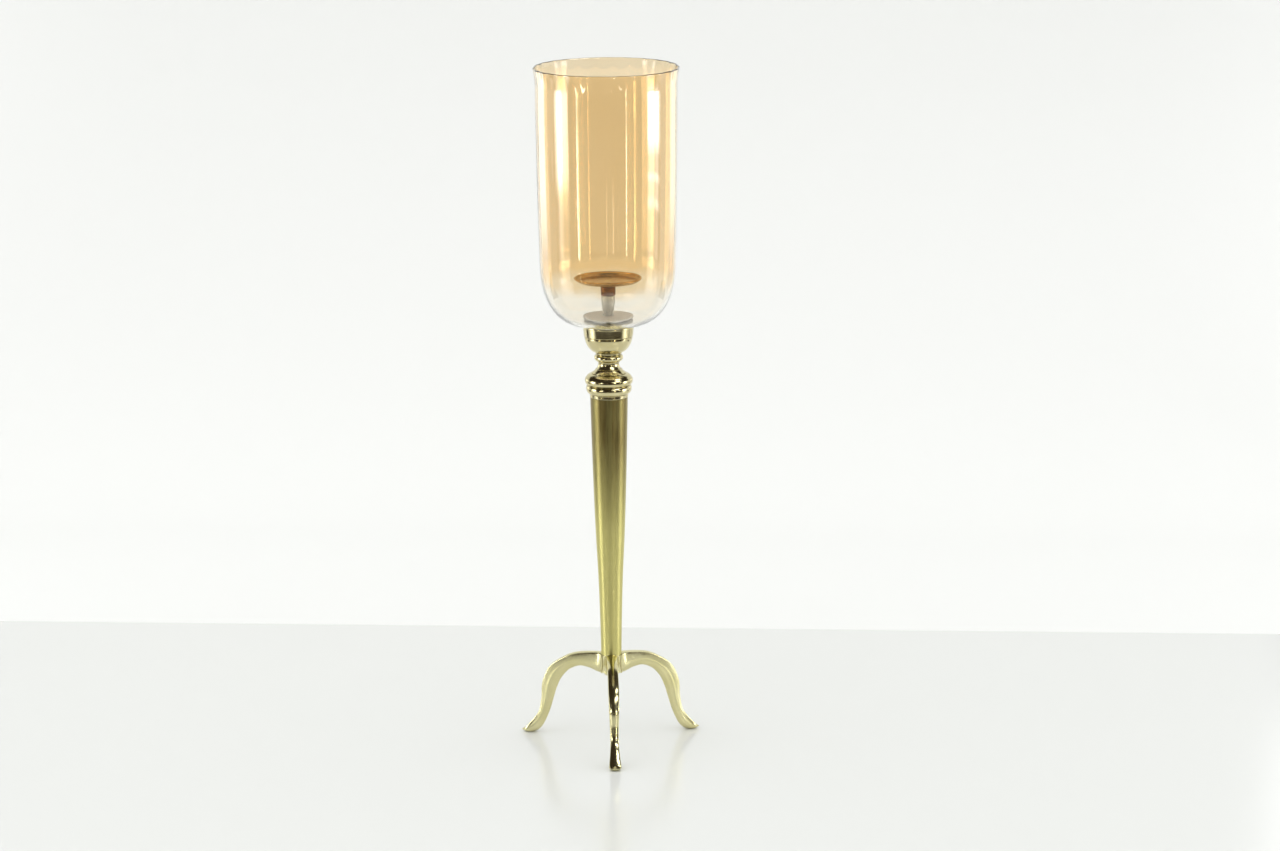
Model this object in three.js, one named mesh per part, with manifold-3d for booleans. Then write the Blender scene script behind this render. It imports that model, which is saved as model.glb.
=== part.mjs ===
// Hurricane candle lantern: a brass tripod column that carries a tall amber glass shade.
// Millimetres, +Z up, standing on z = 0. The origin is under the middle of the lantern's own box,
// and the turned parts share one upright axis, which stands COLUMN_SETBACK behind it.

import * as THREE from 'three';
import { mergeVertices } from 'three/addons/utils/BufferGeometryUtils.js';
import Module from 'manifold-3d';

const wasm = await Module();
wasm.setup();

// Driving dimensions.
const FOOT_REACH = 125.5;          // column axis to a toe's tip
const SHADE_RIM_RADIUS = 88.9;
const COLUMN_SETBACK = (FOOT_REACH - SHADE_RIM_RADIUS) / 2;
const GAP = 0.3;                   // clearance between parts that touch on the real object

const HUB_BOTTOM = 88;
const HUB_RADIUS = 12.6;
const HUB_HEIGHT = 26;
const HUB_TAPER = 4.2;             // the hub's foot narrows over this height, out of sight
const HUB_COUNTERBORE = 7.2;
const SPIGOT_LENGTH = 15;
const TUBE_BOTTOM_RADIUS = 12.6;
const TUBE_TOP_RADIUS = 23.1;
const TUBE_LENGTH = 326.6;
const TUBE_WALL = 1.2;
const COLLAR_HEIGHT = 29.6;
const NECK_HEIGHT = 25.9;
const CUP_HEIGHT = 32.7;
const CUP_RIM_RADIUS = 31.2;
const CUP_FLOOR = 4.2;
const GASKET_RADIUS = 30.9;
const LOWER_GASKET_HOLE_RADIUS = 24;
const LOWER_GASKET_THICKNESS = 1.4;
const UPPER_GASKET_THICKNESS = 2.2;
const SHADE_HEIGHT = 316;
const SHADE_FLOOR = 6;
const SHADE_WALL = 2.6;
const SHADE_HOLE_RADIUS = 6.5;
const STEM_LENGTH = 19.3;
const SOCKET_RADIUS = 8.9;
const SOCKET_LENGTH = 16.6;
const PAN_RADIUS = 41.8;
const PAN_HEIGHT = 6;
const PAN_PLATE = 1.3;

const ROD_RADIUS = 3;              // M6
const ROD_HOLE_RADIUS = 3.3;
const NUT_ACROSS_FLATS = 10;
const NUT_CORNER_RADIUS = NUT_ACROSS_FLATS / Math.sqrt(3);
const NUT_HEIGHT = 5;
const COUPLER_LENGTH = 24;
const WASHER_THICKNESS = 1.3;
const HUB_WASHER_RADIUS = 6.1;
const CUP_WASHER_RADIUS = 9;
const CLAMP_WASHER_RADIUS = 7;
const ROD_END_INSET = 1.5;         // tie rod's lower end above the hub's underside
const STUD_GRIP = 8;               // length of stud inside the socket
const SCREW_RADIUS = 2;            // M4
const SCREW_HEAD_RADIUS = 4.4;

const FACE_FALL = 0.21;             // fall of a leg's face at its edges, as a share of its half width
const LEG_ANGLES = { leg_front: -90, leg_right: 30, leg_left: 150 };
const TENON_NECK = 5;              // dovetail width where it leaves the leg
const TENON_BACK = 6.6;
const TENON_DEPTH = 4.1;
const TENON_TOP = 108;

// Heights of the stack, from the floor up.
const TUBE_BOTTOM = HUB_BOTTOM + HUB_HEIGHT + GAP;
const COLLAR_BOTTOM = TUBE_BOTTOM + TUBE_LENGTH + GAP;
const NECK_BOTTOM = COLLAR_BOTTOM + COLLAR_HEIGHT + GAP;
const CUP_BOTTOM = NECK_BOTTOM + NECK_HEIGHT + GAP;
const CUP_TOP = CUP_BOTTOM + CUP_HEIGHT;
const SHADE_BOTTOM = CUP_TOP + GAP + LOWER_GASKET_THICKNESS + GAP;
const UPPER_GASKET_BOTTOM = SHADE_BOTTOM + SHADE_FLOOR + GAP;
const CLAMP_WASHER_BOTTOM = UPPER_GASKET_BOTTOM + UPPER_GASKET_THICKNESS + GAP;
const STEM_NUT_BOTTOM = CLAMP_WASHER_BOTTOM + WASHER_THICKNESS + GAP;
const STEM_BOTTOM = STEM_NUT_BOTTOM + NUT_HEIGHT + GAP;
const SOCKET_BOTTOM = STEM_BOTTOM + STEM_LENGTH + GAP;
const PAN_BOTTOM = SOCKET_BOTTOM + SOCKET_LENGTH + GAP;
const CUP_WASHER_BOTTOM = CUP_BOTTOM + CUP_FLOOR + GAP;
const COUPLER_BOTTOM = CUP_WASHER_BOTTOM + WASHER_THICKNESS + GAP;
const HUB_WASHER_BOTTOM = HUB_BOTTOM + HUB_COUNTERBORE - GAP - WASHER_THICKNESS;
const HUB_NUT_BOTTOM = HUB_WASHER_BOTTOM - GAP - NUT_HEIGHT;
const TIE_ROD_BOTTOM = HUB_BOTTOM + ROD_END_INSET;
const TIE_ROD_TOP = COUPLER_BOTTOM + 0.45 * COUPLER_LENGTH;
const STUD_BOTTOM = TIE_ROD_TOP + 2;
const STUD_TOP = SOCKET_BOTTOM + STUD_GRIP;

const ROUND = 40;                  // sides of a turned part
const SMALL_ROUND = 20;            // sides of a washer, rod or other small round part
const CURVE_STEPS = 4;             // straight pieces in each curved stretch of an outline
const LEG_STEPS = 22;

// Finishes.
const BRUSHED_BRASS = { color: 0x9a8c4a, metalness: 1, roughness: 0.38 };
const POLISHED_BRASS = { color: 0xc9bd84, metalness: 1, roughness: 0.14 };
const CAST_BRASS = { color: 0xbcb070, metalness: 1, roughness: 0.28 };
const BROWN_BRASS = { color: 0x8a5c30, metalness: 1, roughness: 0.3 };
const BRIGHT_STEEL = { color: 0xb4b1a6, metalness: 1, roughness: 0.3 };
const PALE_RUBBER = { color: 0xb9b4aa, metalness: 0, roughness: 0.7 };
const AMBER_GLASS = { color: 0xe0b468, metalness: 0, roughness: 0.05, transparent: true, opacity: 0.4 };

const lantern = new THREE.Group();
lantern.position.y = COLUMN_SETBACK;

function addPart(name, geometry, finish) {
  const mesh = new THREE.Mesh(geometry, new THREE.MeshStandardMaterial(finish));
  mesh.name = name;
  lantern.add(mesh);
  return mesh;
}

// Keeps only the positions and joins the shared corners, so that the mesh is one closed skin.
function closedSkin(geometry) {
  const skin = geometry.clone();
  skin.deleteAttribute('normal');
  skin.deleteAttribute('uv');
  return mergeVertices(skin, 1e-4);
}

function toSolid(geometry) {
  const skin = closedSkin(geometry);
  const mesh = new wasm.Mesh({
    numProp: 3,
    vertProperties: new Float32Array(skin.attributes.position.array),
    triVerts: new Uint32Array(skin.index.array),
  });
  return new wasm.Manifold(mesh);
}

function fromSolid(solid) {
  const mesh = solid.getMesh();
  const geometry = new THREE.BufferGeometry();
  geometry.setAttribute('position', new THREE.BufferAttribute(mesh.vertProperties, 3));
  geometry.setIndex(new THREE.BufferAttribute(mesh.triVerts, 1));
  geometry.computeVertexNormals();
  return geometry;
}

// The outline's corners, with each curved stretch cut into the same number of steps.
function outlinePoints(outline, curveSteps) {
  const points = [];
  for (const curve of outline.curves) {
    const steps = curve.isLineCurve ? 1 : curveSteps;
    for (let i = 0; i < steps; i++) {
      points.push(curve.getPoint(i / steps));
    }
  }
  points.push(points[0].clone());
  return points;
}

// Turns a closed outline of (radius, height) about the upright axis and stands it at bottom.
function turned(outline, bottom, sides = ROUND, curveSteps = CURVE_STEPS) {
  outline.closePath();
  const geometry = new THREE.LatheGeometry(outlinePoints(outline, curveSteps), sides);
  geometry.rotateX(Math.PI / 2);
  geometry.translate(0, 0, bottom);
  return geometry;
}

function uprightCylinder(radius, bottom, top, sides = SMALL_ROUND) {
  const geometry = new THREE.CylinderGeometry(radius, radius, top - bottom, sides);
  geometry.rotateX(Math.PI / 2);
  geometry.translate(0, 0, (bottom + top) / 2);
  return geometry;
}

function ring(outerRadius, innerRadius, bottom, height, sides = SMALL_ROUND) {
  const outline = new THREE.Path();
  outline.moveTo(innerRadius, 0);
  outline.lineTo(outerRadius, 0);
  outline.lineTo(outerRadius, height);
  outline.lineTo(innerRadius, height);
  return turned(outline, bottom, sides);
}

function hexNut(bottom, height) {
  const outline = new THREE.Shape();
  for (let corner = 0; corner < 6; corner++) {
    const angle = corner * Math.PI / 3;
    const x = NUT_CORNER_RADIUS * Math.cos(angle);
    const y = NUT_CORNER_RADIUS * Math.sin(angle);
    if (corner === 0) {
      outline.moveTo(x, y);
    } else {
      outline.lineTo(x, y);
    }
  }
  outline.closePath();
  const bore = new THREE.Path();
  bore.absarc(0, 0, ROD_HOLE_RADIUS, 0, 2 * Math.PI, true);
  outline.holes.push(bore);
  const geometry = new THREE.ExtrudeGeometry(outline, {
    depth: height,
    bevelEnabled: false,
    curveSegments: 16,
  });
  geometry.translate(0, 0, bottom);
  return geometry;
}

// A dovetail along Z, pointing from the leg (at reach) in towards the column axis.
function dovetail(reach, depth, neckWidth, backWidth, bottom, top) {
  const outline = new THREE.Shape();
  outline.moveTo(reach, -neckWidth / 2);
  outline.lineTo(reach, neckWidth / 2);
  outline.lineTo(HUB_RADIUS, neckWidth / 2);
  outline.lineTo(HUB_RADIUS - depth, backWidth / 2);
  outline.lineTo(HUB_RADIUS - depth, -backWidth / 2);
  outline.lineTo(HUB_RADIUS, -neckWidth / 2);
  outline.closePath();
  const geometry = new THREE.ExtrudeGeometry(outline, { depth: top - bottom, bevelEnabled: false });
  geometry.translate(0, 0, bottom);
  return geometry;
}

// Core of the tripod: a slot for each leg, a counterbore for the nut and a spigot for the tube.
function tripodHub() {
  const spigotRadius = TUBE_BOTTOM_RADIUS - TUBE_WALL - GAP;
  const counterboreRadius = NUT_CORNER_RADIUS + 1;
  const outline = new THREE.Path();
  outline.moveTo(ROD_HOLE_RADIUS, HUB_COUNTERBORE);
  outline.lineTo(counterboreRadius, HUB_COUNTERBORE);
  outline.lineTo(counterboreRadius, 0);
  outline.lineTo(HUB_RADIUS - HUB_TAPER, 0);
  outline.lineTo(HUB_RADIUS, HUB_TAPER);
  outline.lineTo(HUB_RADIUS, HUB_HEIGHT);
  outline.lineTo(spigotRadius, HUB_HEIGHT);
  outline.lineTo(spigotRadius, HUB_HEIGHT + SPIGOT_LENGTH);
  outline.lineTo(ROD_HOLE_RADIUS, HUB_HEIGHT + SPIGOT_LENGTH);
  let hub = toSolid(turned(outline, HUB_BOTTOM));
  const slot = dovetail(
    HUB_RADIUS + 5, TENON_DEPTH + GAP, TENON_NECK + 2 * GAP, TENON_BACK + 2 * GAP,
    HUB_BOTTOM - 5, TENON_TOP + GAP,
  );
  for (const angle of Object.values(LEG_ANGLES)) {
    const turnedSlot = slot.clone().rotateZ(THREE.MathUtils.degToRad(angle));
    hub = hub.subtract(toSolid(turnedSlot));
  }
  return fromSolid(hub);
}

// Skin through rings of points: ring after ring, closed by a fan at each end.
function lofted(rings) {
  const sides = rings[0].length;
  const positions = [];
  const triangles = [];
  for (const points of rings) {
    for (const point of points) {
      positions.push(point.x, point.y, point.z);
    }
  }
  for (let row = 0; row + 1 < rings.length; row++) {
    for (let side = 0; side < sides; side++) {
      const a = row * sides + side;
      const b = row * sides + (side + 1) % sides;
      triangles.push(a, b, b + sides, a, b + sides, a + sides);
    }
  }
  const last = (rings.length - 1) * sides;
  for (let side = 1; side + 1 < sides; side++) {
    triangles.push(0, side + 1, side);
    triangles.push(last, last + side, last + side + 1);
  }
  const geometry = new THREE.BufferGeometry();
  geometry.setAttribute('position', new THREE.Float32BufferAttribute(positions, 3));
  geometry.setIndex(triangles);
  return geometry;
}

// The leg's middle line as (reach, 0, height), from the column axis out to the toe.
const LEG_LINE = new THREE.CatmullRomCurve3([
  new THREE.Vector3(6, 0, 102),
  new THREE.Vector3(16, 0, 102.5),
  new THREE.Vector3(30, 0, 103.8),
  new THREE.Vector3(47, 0, 102.6),
  new THREE.Vector3(63.6, 0, 95.5),
  new THREE.Vector3(79, 0, 82.5),
  new THREE.Vector3(87.4, 0, 65.6),
  new THREE.Vector3(91.5, 0, 45.8),
  new THREE.Vector3(97.2, 0, 26.6),
  new THREE.Vector3(107.8, 0, 10.5),
  new THREE.Vector3(118.2, 0, 3.5),
  new THREE.Vector3(FOOT_REACH, 0, 2.6),
]);

// Half depth in the leg's own plane and half width across it, at the same points.
const LEG_SIZES = new THREE.CatmullRomCurve3([
  new THREE.Vector3(14.2, 11, 0),
  new THREE.Vector3(13.4, 7.4, 0),
  new THREE.Vector3(10.8, 6.8, 0),
  new THREE.Vector3(9, 6.9, 0),
  new THREE.Vector3(9, 6.9, 0),
  new THREE.Vector3(10.5, 6.9, 0),
  new THREE.Vector3(10, 6.5, 0),
  new THREE.Vector3(7.6, 5.6, 0),
  new THREE.Vector3(6.4, 5.4, 0),
  new THREE.Vector3(7.4, 6.6, 0),
  new THREE.Vector3(5.2, 7.6, 0),
  new THREE.Vector3(0.9, 6, 0),
]);

// Right half of the leg's section below its face, as (across, up) shares of half width and half depth.
const LEG_FLANK = [[1, 0], [0.86, -0.6], [0.46, -0.9]];

// Corners of the leg's section: a domed face on top, two flanks and a round belly.
function legSection(halfDepth, halfWidth) {
  const fall = Math.min(FACE_FALL * halfWidth, halfDepth / 2);
  const right = [
    new THREE.Vector2(0.55 * halfWidth, halfDepth - 0.37 * fall),
    new THREE.Vector2(0.91 * halfWidth, halfDepth - fall),
  ];
  for (const [across, up] of LEG_FLANK) {
    right.push(new THREE.Vector2(across * halfWidth, up * halfDepth));
  }
  const left = right.map((corner) => new THREE.Vector2(-corner.x, corner.y));
  const top = new THREE.Vector2(0, halfDepth);
  const belly = new THREE.Vector2(0, -halfDepth);
  return [top, ...left, belly, ...right.reverse()];
}

function legRing(t) {
  const centre = LEG_LINE.getPoint(t);
  const along = LEG_LINE.getTangent(t);
  const sizes = LEG_SIZES.getPoint(t);
  return legSection(sizes.x, sizes.y).map((corner) => new THREE.Vector3(
    centre.x - corner.y * along.z, corner.x, centre.z + corner.y * along.x,
  ));
}

// A leg along +X: the loft is cut to fit round the hub, keeps to its third, and stands flat.
function leg(angle) {
  const rings = [];
  for (let step = 0; step <= LEG_STEPS; step++) {
    rings.push(legRing(step / LEG_STEPS));
  }
  let body = toSolid(lofted(rings));

  const third = new THREE.Shape();
  const far = FOOT_REACH + 20;
  third.moveTo(2 * GAP, 0);
  third.lineTo(2 * GAP + far, -far * Math.tan(Math.PI / 3));
  third.lineTo(2 * GAP + far, far * Math.tan(Math.PI / 3));
  third.closePath();
  const wedge = new THREE.ExtrudeGeometry(third, { depth: TUBE_BOTTOM + 50, bevelEnabled: false });
  body = body.intersect(toSolid(wedge));

  const hubRoom = uprightCylinder(HUB_RADIUS + GAP, HUB_BOTTOM - 20, HUB_BOTTOM + 60, ROUND);
  body = body.subtract(toSolid(hubRoom));

  const tenon = dovetail(
    HUB_RADIUS + 3, TENON_DEPTH, TENON_NECK, TENON_BACK, HUB_BOTTOM + 2.5, TENON_TOP,
  );
  body = body.add(toSolid(tenon));
  return fromSolid(body).rotateZ(THREE.MathUtils.degToRad(angle));
}

// The long tube swells in one S-shaped sweep, with the same wall all the way.
function columnTube() {
  const swell = TUBE_TOP_RADIUS - TUBE_BOTTOM_RADIUS;
  const bend = { low: TUBE_BOTTOM_RADIUS + 0.29 * swell, high: TUBE_BOTTOM_RADIUS + 0.44 * swell };
  const late = 0.51 * TUBE_LENGTH;
  const early = 0.227 * TUBE_LENGTH;
  const outline = new THREE.Path();
  outline.moveTo(TUBE_BOTTOM_RADIUS, 0);
  outline.bezierCurveTo(bend.low, late, bend.high, early, TUBE_TOP_RADIUS, TUBE_LENGTH);
  outline.lineTo(TUBE_TOP_RADIUS - TUBE_WALL, TUBE_LENGTH);
  outline.bezierCurveTo(
    bend.high - TUBE_WALL, early, bend.low - TUBE_WALL, late, TUBE_BOTTOM_RADIUS - TUBE_WALL, 0,
  );
  return turned(outline, TUBE_BOTTOM, ROUND, 7);
}

// Collar with a skirt, two beads and a domed top. Its spigot sits in the tube.
function collar() {
  const outline = new THREE.Path();
  outline.moveTo(ROD_HOLE_RADIUS, COLLAR_HEIGHT - 12);
  outline.lineTo(18.5, COLLAR_HEIGHT - 12);
  outline.lineTo(18.5, -SPIGOT_LENGTH);
  outline.lineTo(20.6, -SPIGOT_LENGTH);
  outline.lineTo(21.2, 0);
  outline.lineTo(23.5, 0);
  outline.lineTo(23.6, 4.6);
  outline.bezierCurveTo(28.6, 5.8, 29, 14.2, 26.3, 15.3);
  outline.lineTo(26.3, 16);
  outline.bezierCurveTo(30.4, 17.2, 30, 24, 28.4, 24.8);
  outline.bezierCurveTo(27, 27.4, 24.8, 28.6, 22.4, COLLAR_HEIGHT);
  outline.lineTo(ROD_HOLE_RADIUS, COLLAR_HEIGHT);
  return turned(outline, COLLAR_BOTTOM);
}

// Neck with a bell foot, a waist and one bead.
function neckSpool() {
  const outline = new THREE.Path();
  outline.moveTo(ROD_HOLE_RADIUS, 0);
  outline.lineTo(20.8, 0);
  outline.lineTo(20.8, 0.9);
  outline.bezierCurveTo(18.2, 2.2, 17, 3.6, 16.4, 5.2);
  outline.lineTo(14.6, 6);
  outline.bezierCurveTo(13.2, 9, 12.7, 11, 12.9, 12.8);
  outline.lineTo(14, 15.4);
  outline.bezierCurveTo(18.8, 16.2, 18.8, 22.4, 15.4, 23);
  outline.lineTo(15.6, 24.6);
  outline.lineTo(16.5, NECK_HEIGHT);
  outline.lineTo(ROD_HOLE_RADIUS, NECK_HEIGHT);
  return turned(outline, NECK_BOTTOM);
}

// Hollow bowl with an upright band. The glass stands on its rim.
function seatCup() {
  const bandBottom = 20;
  const outline = new THREE.Path();
  outline.moveTo(ROD_HOLE_RADIUS, 0);
  outline.lineTo(16.6, 0);
  outline.bezierCurveTo(23.5, 1.9, 28.8, 10.6, 29.8, bandBottom);
  outline.lineTo(30.2, bandBottom + 0.4);
  outline.lineTo(CUP_RIM_RADIUS, CUP_HEIGHT);
  outline.lineTo(CUP_RIM_RADIUS - 3, CUP_HEIGHT);
  outline.lineTo(27.6, bandBottom);
  outline.bezierCurveTo(26.6, 12, 22, CUP_FLOOR + 1.6, 15, CUP_FLOOR);
  outline.lineTo(ROD_HOLE_RADIUS, CUP_FLOOR);
  return turned(outline, CUP_BOTTOM);
}

// Tall glass with a rounded bottom, a hole for the stud and a lip that flares a little.
function glassShade() {
  const floorRadius = 33;
  const shoulder = { radius: 83, height: 76 };
  const lip = SHADE_HEIGHT - 22;
  const outline = new THREE.Path();
  outline.moveTo(SHADE_HOLE_RADIUS, 0);
  outline.lineTo(floorRadius, 0);
  outline.bezierCurveTo(floorRadius + 31, 0, shoulder.radius, 30, shoulder.radius, shoulder.height);
  outline.bezierCurveTo(shoulder.radius + 1.5, 130, shoulder.radius + 3.2, 210, shoulder.radius + 3.4, lip);
  outline.quadraticCurveTo(shoulder.radius + 3.8, lip + 10, SHADE_RIM_RADIUS, SHADE_HEIGHT - 0.8);
  outline.lineTo(SHADE_RIM_RADIUS - 0.6, SHADE_HEIGHT);
  outline.lineTo(SHADE_RIM_RADIUS - 1.8, SHADE_HEIGHT);
  outline.quadraticCurveTo(
    shoulder.radius + 3.8 - SHADE_WALL, lip + 10, shoulder.radius + 3.4 - SHADE_WALL, lip,
  );
  outline.bezierCurveTo(
    shoulder.radius + 3.2 - SHADE_WALL, 210, shoulder.radius + 1.5 - SHADE_WALL, 130,
    shoulder.radius - SHADE_WALL, shoulder.height,
  );
  outline.bezierCurveTo(
    shoulder.radius - SHADE_WALL, 32, floorRadius + 29, SHADE_FLOOR, floorRadius, SHADE_FLOOR,
  );
  outline.lineTo(SHADE_HOLE_RADIUS, SHADE_FLOOR);
  return turned(outline, SHADE_BOTTOM, ROUND, 5);
}

// Plain stem, a little slimmer at its foot, bored for the stud.
function stemTube() {
  const outline = new THREE.Path();
  outline.moveTo(ROD_HOLE_RADIUS, 0);
  outline.lineTo(6.9, 0);
  outline.lineTo(8.2, 10);
  outline.lineTo(8.2, STEM_LENGTH);
  outline.lineTo(ROD_HOLE_RADIUS, STEM_LENGTH);
  return turned(outline, STEM_BOTTOM, SMALL_ROUND);
}

// Socket under the pan: bored for the stud from below and for the pan's screw from above.
function panSocket() {
  const boreTop = SOCKET_LENGTH - 7;
  const screwHole = SCREW_RADIUS + GAP;
  const outline = new THREE.Path();
  outline.moveTo(ROD_HOLE_RADIUS, 0);
  outline.lineTo(SOCKET_RADIUS - 0.4, 0);
  outline.lineTo(SOCKET_RADIUS, 0.6);
  outline.lineTo(SOCKET_RADIUS, SOCKET_LENGTH);
  outline.lineTo(screwHole + 1.2, SOCKET_LENGTH);
  outline.lineTo(screwHole, SOCKET_LENGTH - 1.2);
  outline.lineTo(screwHole, boreTop);
  outline.lineTo(ROD_HOLE_RADIUS, boreTop);
  return turned(outline, SOCKET_BOTTOM, SMALL_ROUND);
}

// Shallow pan with a rolled rim and a flat floor for the candle.
function candlePan() {
  const bead = 1.4;
  const beadRadius = PAN_RADIUS - bead;
  const beadHeight = PAN_HEIGHT - bead;
  const outline = new THREE.Path();
  outline.moveTo(SCREW_RADIUS + 2 * GAP + 0.9, 0);
  outline.lineTo(34, 0);
  outline.quadraticCurveTo(38.4, 0.2, beadRadius - 0.4, beadHeight - bead);
  outline.absarc(beadRadius, beadHeight, bead, -Math.PI / 2, Math.PI * 0.9, false);
  outline.quadraticCurveTo(37.8, 1.8, 33.6, PAN_PLATE);
  outline.lineTo(SCREW_HEAD_RADIUS + 1.5 * GAP, PAN_PLATE);
  return turned(outline, PAN_BOTTOM);
}

// Countersunk screw, flush with the pan's floor.
function panScrew() {
  const top = PAN_PLATE - 0.1;
  const head = SCREW_HEAD_RADIUS - SCREW_RADIUS;
  const points = [
    new THREE.Vector2(0, top - 7),
    new THREE.Vector2(SCREW_RADIUS, top - 7),
    new THREE.Vector2(SCREW_RADIUS, top - head - 0.3),
    new THREE.Vector2(SCREW_HEAD_RADIUS, top - 0.3),
    new THREE.Vector2(SCREW_HEAD_RADIUS, top),
    new THREE.Vector2(0, top),
  ];
  const geometry = new THREE.LatheGeometry(points, SMALL_ROUND);
  geometry.rotateX(Math.PI / 2);
  geometry.translate(0, 0, PAN_BOTTOM);
  return geometry;
}

for (const [name, angle] of Object.entries(LEG_ANGLES)) {
  addPart(name, leg(angle), CAST_BRASS);
}
addPart('tripod_hub', tripodHub(), CAST_BRASS);
addPart(
  'hub_washer', ring(HUB_WASHER_RADIUS, ROD_HOLE_RADIUS, HUB_WASHER_BOTTOM, WASHER_THICKNESS), BRIGHT_STEEL,
);
addPart('hub_nut', hexNut(HUB_NUT_BOTTOM, NUT_HEIGHT), BRIGHT_STEEL);
addPart('tie_rod', uprightCylinder(ROD_RADIUS, TIE_ROD_BOTTOM, TIE_ROD_TOP), BRIGHT_STEEL);
addPart('column_tube', columnTube(), BRUSHED_BRASS);
addPart('collar', collar(), POLISHED_BRASS);
addPart('neck_spool', neckSpool(), POLISHED_BRASS);
addPart('seat_cup', seatCup(), POLISHED_BRASS);
addPart(
  'cup_washer', ring(CUP_WASHER_RADIUS, ROD_HOLE_RADIUS, CUP_WASHER_BOTTOM, WASHER_THICKNESS), BRIGHT_STEEL,
);
addPart('coupler_nut', hexNut(COUPLER_BOTTOM, COUPLER_LENGTH), BRIGHT_STEEL);
addPart(
  'lower_gasket',
  ring(GASKET_RADIUS, LOWER_GASKET_HOLE_RADIUS, CUP_TOP + GAP, LOWER_GASKET_THICKNESS, ROUND),
  PALE_RUBBER,
);
addPart('glass_shade', glassShade(), AMBER_GLASS);
addPart(
  'upper_gasket',
  ring(GASKET_RADIUS, ROD_HOLE_RADIUS, UPPER_GASKET_BOTTOM, UPPER_GASKET_THICKNESS, ROUND),
  PALE_RUBBER,
);
addPart(
  'clamp_washer',
  ring(CLAMP_WASHER_RADIUS, ROD_HOLE_RADIUS, CLAMP_WASHER_BOTTOM, WASHER_THICKNESS),
  BRIGHT_STEEL,
);
addPart('stem_nut', hexNut(STEM_NUT_BOTTOM, NUT_HEIGHT), BRIGHT_STEEL);
addPart('stem_stud', uprightCylinder(ROD_RADIUS, STUD_BOTTOM, STUD_TOP), BRIGHT_STEEL);
addPart('stem_tube', stemTube(), BRIGHT_STEEL);
addPart('pan_socket', panSocket(), BROWN_BRASS);
addPart('candle_pan', candlePan(), BROWN_BRASS);
addPart('pan_screw', panScrew(), POLISHED_BRASS);

export default lantern;
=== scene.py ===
"""Hurricane candle lantern: brass tripod, tapered column, turned neck and an amber lustre glass.

Outlines are in millimetres: (radius from the column's axis, height above the piece's own bottom).
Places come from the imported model. The front leg points along -Y and the lantern stands on z = 0.
"""

import math
import random

import bmesh
import bpy
from mathutils import Matrix, Vector


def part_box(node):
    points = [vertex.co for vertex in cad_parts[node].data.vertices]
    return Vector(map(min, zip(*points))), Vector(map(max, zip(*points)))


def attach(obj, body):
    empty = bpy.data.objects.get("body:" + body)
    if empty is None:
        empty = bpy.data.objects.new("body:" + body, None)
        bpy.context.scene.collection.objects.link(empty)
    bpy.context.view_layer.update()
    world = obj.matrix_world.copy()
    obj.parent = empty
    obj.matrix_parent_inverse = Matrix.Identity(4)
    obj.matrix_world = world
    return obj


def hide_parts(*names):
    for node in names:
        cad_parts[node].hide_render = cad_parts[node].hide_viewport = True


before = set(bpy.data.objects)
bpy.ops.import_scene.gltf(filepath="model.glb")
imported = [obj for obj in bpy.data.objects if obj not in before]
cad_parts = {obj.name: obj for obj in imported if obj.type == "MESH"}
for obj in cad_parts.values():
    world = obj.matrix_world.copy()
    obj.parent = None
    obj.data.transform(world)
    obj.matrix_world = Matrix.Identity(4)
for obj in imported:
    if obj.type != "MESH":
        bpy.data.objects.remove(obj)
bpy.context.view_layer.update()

MM = 0.001
SCENE = bpy.context.scene

low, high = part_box("column_tube")
AXIS = Vector(((low.x + high.x) / 2, (low.y + high.y) / 2, 0))


# ---------------------------------------------------------------- outlines

def bezier(p0, p1, p2, p3, steps=10):
    """Points along a cubic curve, without its last point."""
    points = []
    for i in range(steps):
        t = i / steps
        s = 1 - t
        weights = (s ** 3, 3 * s * s * t, 3 * s * t * t, t ** 3)
        x = sum(w * p[0] for w, p in zip(weights, (p0, p1, p2, p3)))
        y = sum(w * p[1] for w, p in zip(weights, (p0, p1, p2, p3)))
        points.append((x, y))
    return points


def arc(centre, radius, start, end, steps=8):
    """Points on a round arc from start to end degrees, both included."""
    points = []
    for i in range(steps + 1):
        angle = math.radians(start + (end - start) * i / steps)
        points.append((centre[0] + radius * math.cos(angle), centre[1] + radius * math.sin(angle)))
    return points


def eased(points, radius=0.25, sharp=25):
    """The same outline with each sharp corner worn to a small round of about that radius."""
    result = []
    count = len(points)
    for i, corner in enumerate(points):
        here = Vector(corner)
        before = Vector(points[i - 1])
        after = Vector(points[(i + 1) % count])
        to_before = before - here
        to_after = after - here
        if to_before.length < 1e-6 or to_after.length < 1e-6:
            continue
        turn = 180 - math.degrees(to_before.angle(to_after))
        on_axis = corner[0] < 1e-6
        if turn < sharp or on_axis:
            result.append(tuple(here))
            continue
        reach = min(radius, 0.45 * to_before.length, 0.45 * to_after.length)
        first = here + to_before.normalized() * reach
        last = here + to_after.normalized() * reach
        for t in (0, 0.33, 0.67, 1):
            mid = first.lerp(here, t).lerp(here.lerp(last, t), t)
            result.append(tuple(mid))
    return held(result)


def held(points, reach=0.3, long=1.6):
    """Adds a point near each end of every long stretch, so that its shading stays flat."""
    result = []
    for i, start in enumerate(points):
        end = points[(i + 1) % len(points)]
        result.append(start)
        span = math.dist(start, end)
        if span < long:
            continue
        for share in (reach / span, 1 - reach / span):
            result.append(tuple(a + (b - a) * share for a, b in zip(start, end)))
    return result


# ---------------------------------------------------------------- meshes

def new_object(name, mesh, material):
    piece = bpy.data.objects.new(name, mesh)
    SCENE.collection.objects.link(piece)
    mesh.materials.append(material)
    return piece


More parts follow.
